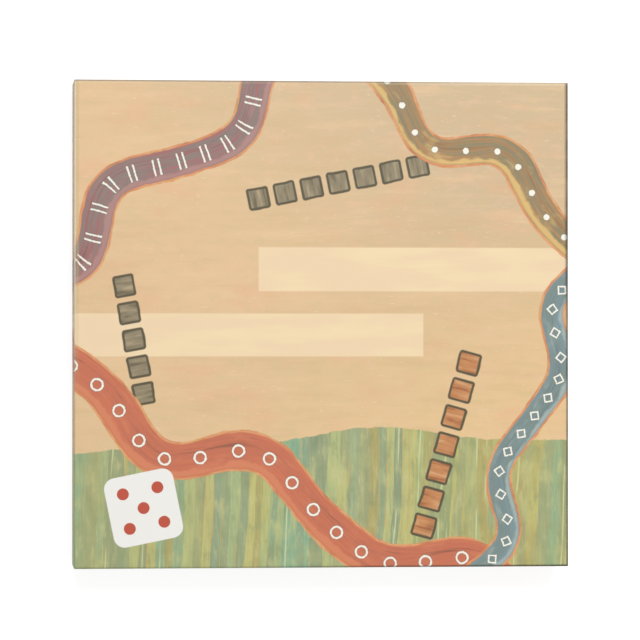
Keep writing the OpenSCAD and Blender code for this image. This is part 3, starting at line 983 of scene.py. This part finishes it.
def turned_profile():
    """A pawn's outline from the foot up, as (radius, height) in millimetres: a foot with a round lip,
    a small shoulder, a body that narrows in a hollow curve, and a ball for a head."""
    foot_r, lip, height = 7.5, 1.2, 23.0
    body_r, body_z, neck_r, neck_z = 6.0, 2.4, 2.6, 14.73
    shoulder_out, shoulder_in, shoulder_down = 0.1, 0.25, 0.12
    lip_steps, body_steps, hollow = 10, 10, 1.9
    head_r, head_start, head_step = 4.4, 36, 12
    outline = [(foot_r - lip, 0.0)]
    for i in range(1, lip_steps):
        angle = math.pi * i / lip_steps
        outline.append((foot_r - lip + lip * math.sin(angle), lip - lip * math.cos(angle)))
    outline.append((body_r + shoulder_out, body_z - shoulder_down))
    outline.append((body_r - shoulder_in, body_z))
    for i in range(1, body_steps + 1):
        rise = i / body_steps
        outline.append((neck_r + (body_r - neck_r) * (1 - rise) ** hollow,
                        body_z + (neck_z - body_z) * rise))
    for degrees in range(head_start, 180, head_step):
        angle = math.radians(degrees)
        outline.append((head_r * math.sin(angle), height - head_r - head_r * math.cos(angle)))
    return outline


def turn_pawn(name, middle):
    """A pawn on the lathe: a disc, drawn up and widened or narrowed step by step."""
    profile = [(r * MM, z * MM) for r, z in turned_profile()]
    facets, crown = 56, 0.02 * MM
    piece = start(name, bpy.ops.mesh.primitive_circle_add, (1, 1, 1), middle,
                  radius=profile[0][0], vertices=facets, fill_type="NGON")
    bpy.ops.mesh.select_all(action="SELECT")
    for (r0, z0), (r1, z1) in zip(profile, profile[1:]):
        pull(z=z1 - z0)
        share = r1 / r0
        bpy.ops.transform.resize(value=(share, share, 1), center_override=middle + Vector((0, 0, z1)))
    pull(z=crown)
    bpy.ops.mesh.merge(type="CENTER")
    bpy.ops.mesh.select_all(action="SELECT")
    bpy.ops.mesh.normals_make_consistent(inside=False)
    return smooth(piece, degrees=35)


def make_counters():
    """One pawn is turned, and the others are copies of it, each lacquered in its own colour."""
    finishes = (("ochre", "D9A441", "CE9736"), ("plum", "96605E", "8A5654"),
                ("red", "C8553B", "BC4B33"), ("blue", "5F8299", "557890"))
    pawns, feet = [], []
    for name, colour, shade in finishes:
        low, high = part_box("counter_" + name)
        foot = Vector(((low.x + high.x) / 2, (low.y + high.y) / 2, low.z))
        if not pawns:
            pawn = turn_pawn(name + "_pawn", foot)
        else:
            bpy.ops.object.select_all(action="DESELECT")
            pawns[0].select_set(True)
            bpy.context.view_layer.objects.active = pawns[0]
            bpy.ops.object.duplicate(linked=False)
            pawn = bpy.context.object
            pawn.name = pawn.data.name = name + "_pawn"
            pawn.location = foot - feet[0]
            bpy.ops.object.transform_apply(location=True, rotation=False, scale=False)
        pawns.append(pawn)
        feet.append(foot)
    for pawn, foot, (name, colour, shade) in zip(pawns, feet, finishes):
        finish = lacquer(name + "_paint", colour, shade, "E0CBA2", foot.z / MM)
        put_in(pawn, name + "_counter", finish, name + "_paint", "counter_" + name)


def lay_node(tree, kind, inputs, **settings):
    """Adds a node with its inputs set or linked, and gives its first output."""
    node = tree.nodes.new(kind)
    for name, value in settings.items():
        setattr(node, name, value)
    for key, value in inputs.items():
        if isinstance(value, bpy.types.NodeSocket):
            tree.links.new(value, node.inputs[key])
        else:
            node.inputs[key].default_value = value
    return node.outputs[0] if node.outputs else None


def floor_finish():
    """White to the camera but for the object's shadow, grey to the object, and clear from below."""
    material = bpy.data.materials.new("white_floor")
    material.use_nodes = True
    tree = material.node_tree
    tree.nodes.clear()
    to_others = lay_node(tree, "ShaderNodeBsdfDiffuse", {"Color": (0.32, 0.32, 0.31, 1)})
    to_camera = lay_node(tree, "ShaderNodeBsdfDiffuse", {"Color": (0.4, 0.4, 0.4, 1)})
    glow = lay_node(tree, "ShaderNodeEmission", {"Strength": 0.8})
    lifted = lay_node(tree, "ShaderNodeAddShader", {0: to_camera, 1: glow})
    path = tree.nodes.new("ShaderNodeLightPath").outputs
    seen = lay_node(tree, "ShaderNodeMath", {0: path["Is Camera Ray"], 1: path["Is Glossy Ray"]},
                    operation="MAXIMUM")
    upper = lay_node(tree, "ShaderNodeMixShader", {0: seen, 1: to_others, 2: lifted})
    from_below = tree.nodes.new("ShaderNodeNewGeometry").outputs["Backfacing"]
    clear = lay_node(tree, "ShaderNodeBsdfTransparent", {})
    both = lay_node(tree, "ShaderNodeMixShader", {0: from_below, 1: upper, 2: clear})
    lay_node(tree, "ShaderNodeOutputMaterial", {"Surface": both})
    return material


def lay_floor():
    """A pale floor, open under the tray, so that the underside can be looked at from below."""
    foot = TRAY_HIGH - TRAY_LOW
    reach, lap = 4.0, 1.5 * MM
    floor = start("floor", bpy.ops.mesh.primitive_plane_add,
                  (foot.x + 2 * (reach - lap), foot.y + 2 * (reach - lap), 1), (0, 0, 0), size=1)
    bpy.ops.mesh.select_all(action="SELECT")
    bpy.ops.mesh.inset(thickness=reach, depth=0)
    bpy.ops.mesh.delete(type="FACE")
    bpy.ops.object.mode_set(mode="OBJECT")
    floor.data.materials.clear()
    floor.data.materials.append(floor_finish())


def light_studio():
    """A world that is white to the camera and a soft light to the object, and two lamps."""
    world = bpy.data.worlds.new("studio")
    bpy.context.scene.world = world
    world.use_nodes = True
    tree = world.node_tree
    tree.nodes.clear()
    white = (1, 1, 1, 1)
    soft = lay_node(tree, "ShaderNodeBackground", {"Color": white, "Strength": 0.4})
    full = lay_node(tree, "ShaderNodeBackground", {"Color": white, "Strength": 1.0})
    seen = tree.nodes.new("ShaderNodeLightPath").outputs["Is Camera Ray"]
    both = lay_node(tree, "ShaderNodeMixShader", {0: seen, 1: soft, 2: full})
    lay_node(tree, "ShaderNodeOutputWorld", {"Surface": both})

    lamps = (("key", (0.15, 1.7, 3.5), 1.5, 78.5), ("fill", (2.0, -1.7, 2.4), 2.0, 20.0))
    for name, place, size, watts in lamps:
        data = bpy.data.lights.new(name, "AREA")
        data.energy, data.size = watts, size
        lamp = bpy.data.objects.new(name, data)
        bpy.context.scene.collection.objects.link(lamp)
        lamp.location = place
        lamp.rotation_euler = (Vector((0, 0, 0)) - Vector(place)).to_track_quat("-Z", "Y").to_euler()


look_camera()
make_cover()
make_tray_paper()
make_insert()
make_board_paper()
make_numbers()
make_leaflet()
make_counters()
dress(base_print(), "tray_base_sheet")
dress(greyboard(), "tray_board", "lid_board", "board_core")
dress(plain_paper("liner_paper", "F4F1E8", "EAE6DA"), "tray_liner", "lid_liner")
dress(plain_paper("stay_paper", "C9A97A", "BD9C6C", 0.7, 0.03), "tray_corner_stays", "lid_corner_stays")
dress(play_print(), "play_sheet")
dress(die_wood(), "die_body")
dress(pip_paint(), "die_pips")
lay_floor()
light_studio()
bpy.context.scene.view_settings.view_transform = "Standard"
